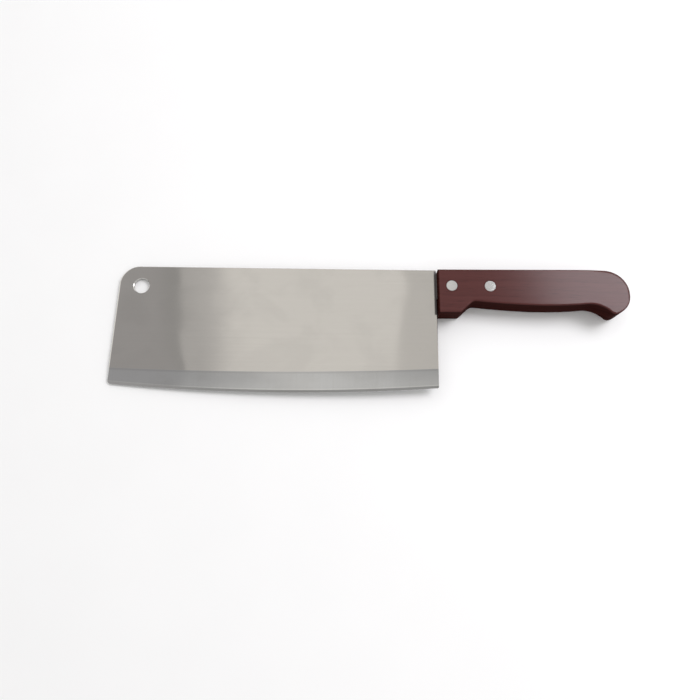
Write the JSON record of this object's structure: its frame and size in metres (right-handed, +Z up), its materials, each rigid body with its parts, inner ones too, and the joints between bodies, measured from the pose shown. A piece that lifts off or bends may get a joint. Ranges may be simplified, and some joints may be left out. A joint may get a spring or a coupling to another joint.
{
  "type": "cleaver",
  "caption": "Kitchen cleaver with a deep rectangular steel blade, a hanging hole in its rounded front corner and a riveted wooden handle with a hooked butt.",
  "frame": {"origin": "on the table, under the middle of the cleaver's box as it lies on its side", "axes": "+X from the tip of the blade to the butt of the handle, +Y from the cutting edge to the spine, +Z up off the table"},
  "size_m": [0.3242, 0.0814, 0.0175],
  "materials": {
    "blade_steel": "stainless sheet with a fine satin polish, ground strip along the edge",
    "handle_wood": "dark reddish-brown stained hardwood under a thin semi-gloss varnish",
    "rivet_metal": "bright aluminium, sanded flush with the wood"
  },
  "bodies": {
    "root": {"blade": "blade_steel", "handle": "handle_wood", "front_rivet_sleeve": "rivet_metal", "front_rivet_pin": "rivet_metal", "rear_rivet_sleeve": "rivet_metal", "rear_rivet_pin": "rivet_metal"}
  },
  "joints": []
}
